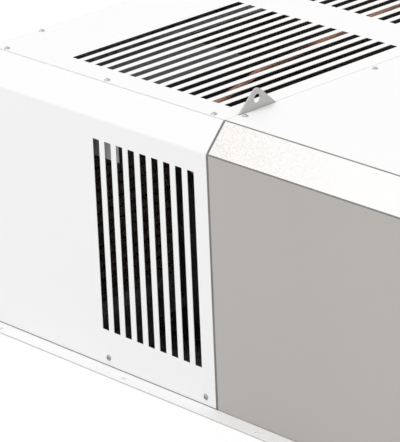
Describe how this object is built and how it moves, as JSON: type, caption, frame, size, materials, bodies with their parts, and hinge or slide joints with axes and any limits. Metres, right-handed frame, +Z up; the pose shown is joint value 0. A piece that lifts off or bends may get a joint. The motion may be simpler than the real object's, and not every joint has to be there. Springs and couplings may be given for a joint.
{
  "type": "monoblock refrigeration unit",
  "caption": "Roof-top cooling unit: slotted white condensing section beside an insulated grey evaporator section on one screwed flange, with lifting lugs.",
  "frame": {"origin": "on the roof plane, under the middle of the whole unit", "axes": "+X along the unit from the condenser fans to the evaporator end, +Y across to the rear, +Z up; the picture looks from the front left and above"},
  "size_m": [1.854, 1.18, 0.5623],
  "materials": {
    "white_casing": "white powder coat, satin",
    "grey_casing": "warm grey powder coat, satin",
    "base_flange": "white powder coat, satin",
    "lug_plate": "light grey coat on thick plate",
    "seal_bead": "grey sealing compound",
    "foam": "rigid polyurethane foam",
    "foam_floor": "foam panel with a coated skin",
    "zinc_screw": "zinc plated",
    "zinc_sheet": "galvanised sheet",
    "coil_fin": "bare folded fins",
    "coil_tube": "brazed flat tubes",
    "copper_pipe": "bare copper, slightly dulled",
    "valve_brass": "forged brass",
    "black_vessel": "black stove enamel",
    "grey_vessel": "grey enamel",
    "black_plastic": "glass filled nylon",
    "grey_plastic": "light grey moulded plastic",
    "red_plastic": "red moulded plastic",
    "black_rubber": "black rubber",
    "motor_case": "black coated casting",
    "guard_wire": "black coated steel wire",
    "heater_sheath": "stainless sheath"
  },
  "bodies": {
    "unit": {"base_rail_front": "base_flange", "base_rail_rear": "base_flange", "base_rail_left": "base_flange", "base_rail_right": "base_flange", "condenser_floor_pan": "zinc_sheet", "evaporator_floor": "foam_floor", "side_panel_front": "white_casing", "side_panel_rear": "white_casing", "condenser_end_panel": "white_casing", "condenser_top_panel": "white_casing", "partition_plate": "lug_plate", "end_lifting_bar": "lug_plate", "evaporator_panel_front": "grey_casing", "evaporator_panel_rear": "grey_casing", "evaporator_end_panel": "grey_casing", "corner_strip_front": "white_casing", "corner_strip_rear": "white_casing", "panel_seals": "seal_bead", "evaporator_top_cover": "white_casing", "insulation": "foam", "casing_screws": "zinc_screw", "condenser_fan_rings": "white_casing", "evaporator_fan_rings": "zinc_sheet", "condenser_fins": "coil_fin", "condenser_flat_tubes": "coil_tube", "condenser_headers": "coil_tube", "condenser_channels": "zinc_sheet", "condenser_fan_motors": "motor_case", "condenser_fan_guards": "guard_wire", "compressor_shell": "black_vessel", "compressor_terminal_cover": "grey_plastic", "compressor_grommets": "black_rubber", "compressor_bolts": "zinc_screw", "liquid_receiver": "grey_vessel", "filter_drier": "grey_vessel", "sight_glass": "valve_brass", "discharge_line": "copper_pipe", "liquid_line": "copper_pipe", "suction_line": "copper_pipe", "pipe_grommet": "black_rubber", "pressure_switch": "grey_plastic", "electrical_box": "zinc_sheet", "electrical_box_lid": "zinc_sheet", "contactors": "grey_plastic", "main_switch": "black_plastic", "cable_glands": "grey_plastic", "evaporator_fan_plate": "zinc_sheet", "evaporator_fan_motors": "motor_case", "evaporator_fan_mounts": "guard_wire", "evaporator_fins": "coil_fin", "evaporator_tubes": "copper_pipe", "expansion_valve": "valve_brass", "drain_pan": "zinc_sheet", "defrost_heaters": "heater_sheath"},
    "condenser_rotor_front": {"condenser_fan_front": "black_plastic"},
    "condenser_rotor_rear": {"condenser_fan_rear": "black_plastic"},
    "evaporator_rotor_front": {"evaporator_fan_front": "black_plastic"},
    "evaporator_rotor_rear": {"evaporator_fan_rear": "black_plastic"},
    "switch_knob": {"main_switch_knob": "red_plastic"},
    "reset": {"reset_button": "red_plastic"}
  },
  "joints": [
    {"name": "condenser_fan_front_spin", "type": "hinge", "parent": "unit", "child": "condenser_rotor_front", "pos_m": [-0.856, -0.27, 0.25], "axis": [1, 0, 0], "continuous": true},
    {"name": "condenser_fan_rear_spin", "type": "hinge", "parent": "unit", "child": "condenser_rotor_rear", "pos_m": [-0.856, 0.27, 0.25], "axis": [1, 0, 0], "continuous": true},
    {"name": "evaporator_fan_front_spin", "type": "hinge", "parent": "unit", "child": "evaporator_rotor_front", "pos_m": [0.132, -0.24, 0.262], "axis": [1, 0, 0], "continuous": true},
    {"name": "evaporator_fan_rear_spin", "type": "hinge", "parent": "unit", "child": "evaporator_rotor_rear", "pos_m": [0.132, 0.24, 0.262], "axis": [1, 0, 0], "continuous": true},
    {"name": "main_switch_turn", "type": "hinge", "parent": "unit", "child": "switch_knob", "pos_m": [-0.905, 0, 0.25], "axis": [1, 0, 0], "range_deg": [0, 90]},
    {"name": "reset_press", "type": "slide", "parent": "unit", "child": "reset", "axis": [1, 0, 0], "range_m": [0, 0.003], "stiffness_N_per_m": 600, "springref_m": -0.001}
  ]
}
